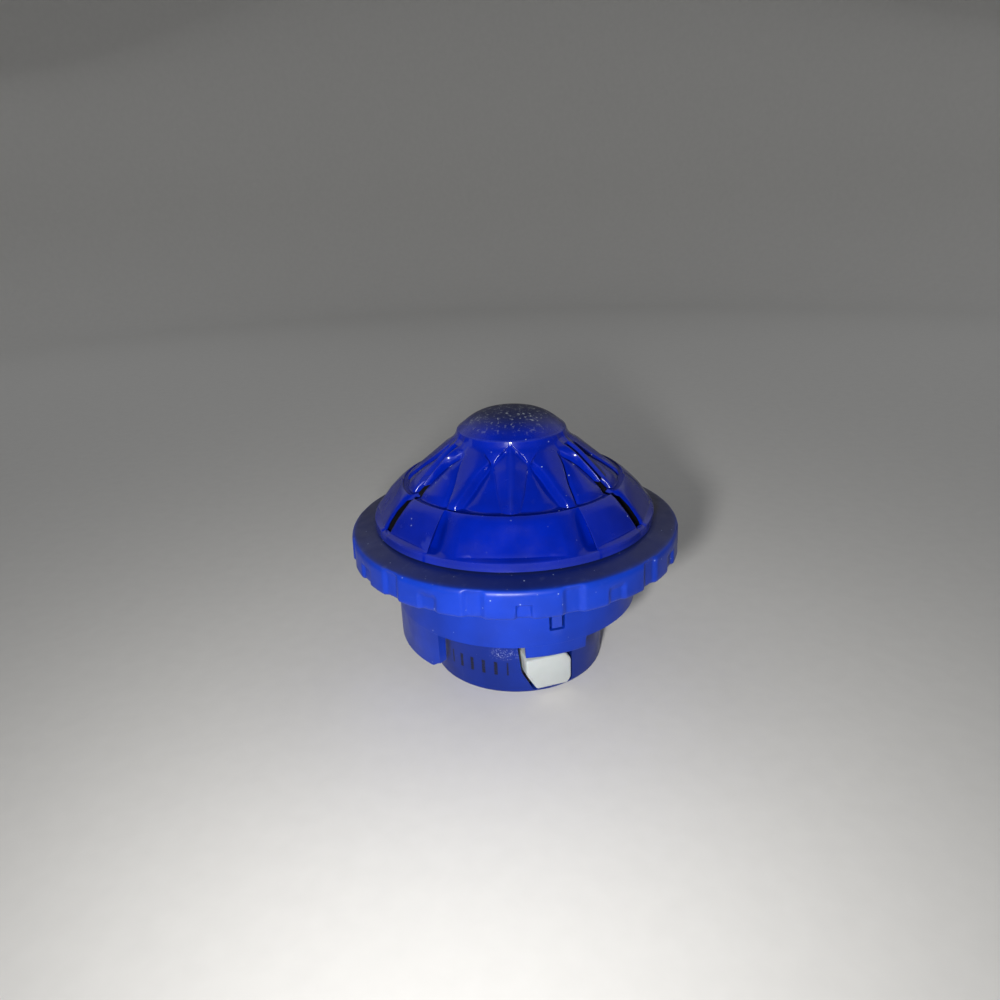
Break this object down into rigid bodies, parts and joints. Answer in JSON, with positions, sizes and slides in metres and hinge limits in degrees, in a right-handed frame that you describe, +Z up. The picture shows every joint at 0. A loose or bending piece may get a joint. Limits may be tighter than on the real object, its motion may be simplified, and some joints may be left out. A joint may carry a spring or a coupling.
{
  "type": "light up spinning top tip unit",
  "caption": "Domed clip-in tip unit of a light-up spinning top, standing on its hub: ribbed petal dome, scalloped rim, hooked hub and sprung latch.",
  "frame": {"origin": "centre of the hub's bottom rim, on the surface that the unit stands on", "axes": "+Z up along the spin axis, from the hub to the rounded tip; -Y towards the front petal"},
  "size_m": [0.0334, 0.0334, 0.027],
  "materials": {
    "satin_blue": "satin moulded ABS, mid blue",
    "deep_blue": "glossy moulded plastic, deep saturated blue",
    "dark_blue": "worn contact tip, dark blue, scuffed on the crown",
    "white": "satin acetal, white",
    "black": "moulded black plastic",
    "board_green": "printed circuit board with solder mask",
    "steel": "bright steel",
    "brass": "plain brass",
    "clear": "clear moulded plastic"
  },
  "bodies": {
    "hub": {"hub_body": "satin_blue", "hub_deck": "black", "deck_screw_1": "steel", "deck_screw_2": "steel", "deck_screw_3": "steel", "latch_spring": "steel"},
    "latch": {"latch_carrier": "white"},
    "tip": {"rim_ring": "satin_blue", "panel_ring": "deep_blue", "petal_dome": "deep_blue", "tip_cap": "dark_blue", "cap_screw": "steel", "battery_tray": "black", "tray_screw_1": "steel", "tray_screw_2": "steel", "tray_screw_3": "steel", "button_cell_1": "steel", "button_cell_2": "steel", "button_cell_3": "steel", "lower_contact": "brass", "upper_contact": "brass", "light_board": "board_green", "control_chip": "black", "led_1": "clear", "led_2": "clear", "led_3": "clear", "light_guide": "clear", "switch_housing": "white", "switch_spring": "steel"},
    "switch": {"switch_weight": "brass"}
  },
  "joints": [
    {"name": "latch_press", "type": "slide", "parent": "hub", "child": "latch", "axis": [0, 0, 1], "range_m": [0, 0.0012], "stiffness_N_per_m": 600, "springref_m": -0.0015, "deforming": ["latch_spring"]},
    {"name": "tip_twist", "type": "hinge", "parent": "hub", "child": "tip", "pos_m": [0, 0, 0.0135], "axis": [0, 0, 1], "range_deg": [0, 15]},
    {"name": "switch_slide", "type": "slide", "parent": "tip", "child": "switch", "axis": [1, 0, 0], "range_m": [0, 0.0009], "stiffness_N_per_m": 15, "springref_m": -0.0004, "deforming": ["switch_spring"]}
  ]
}
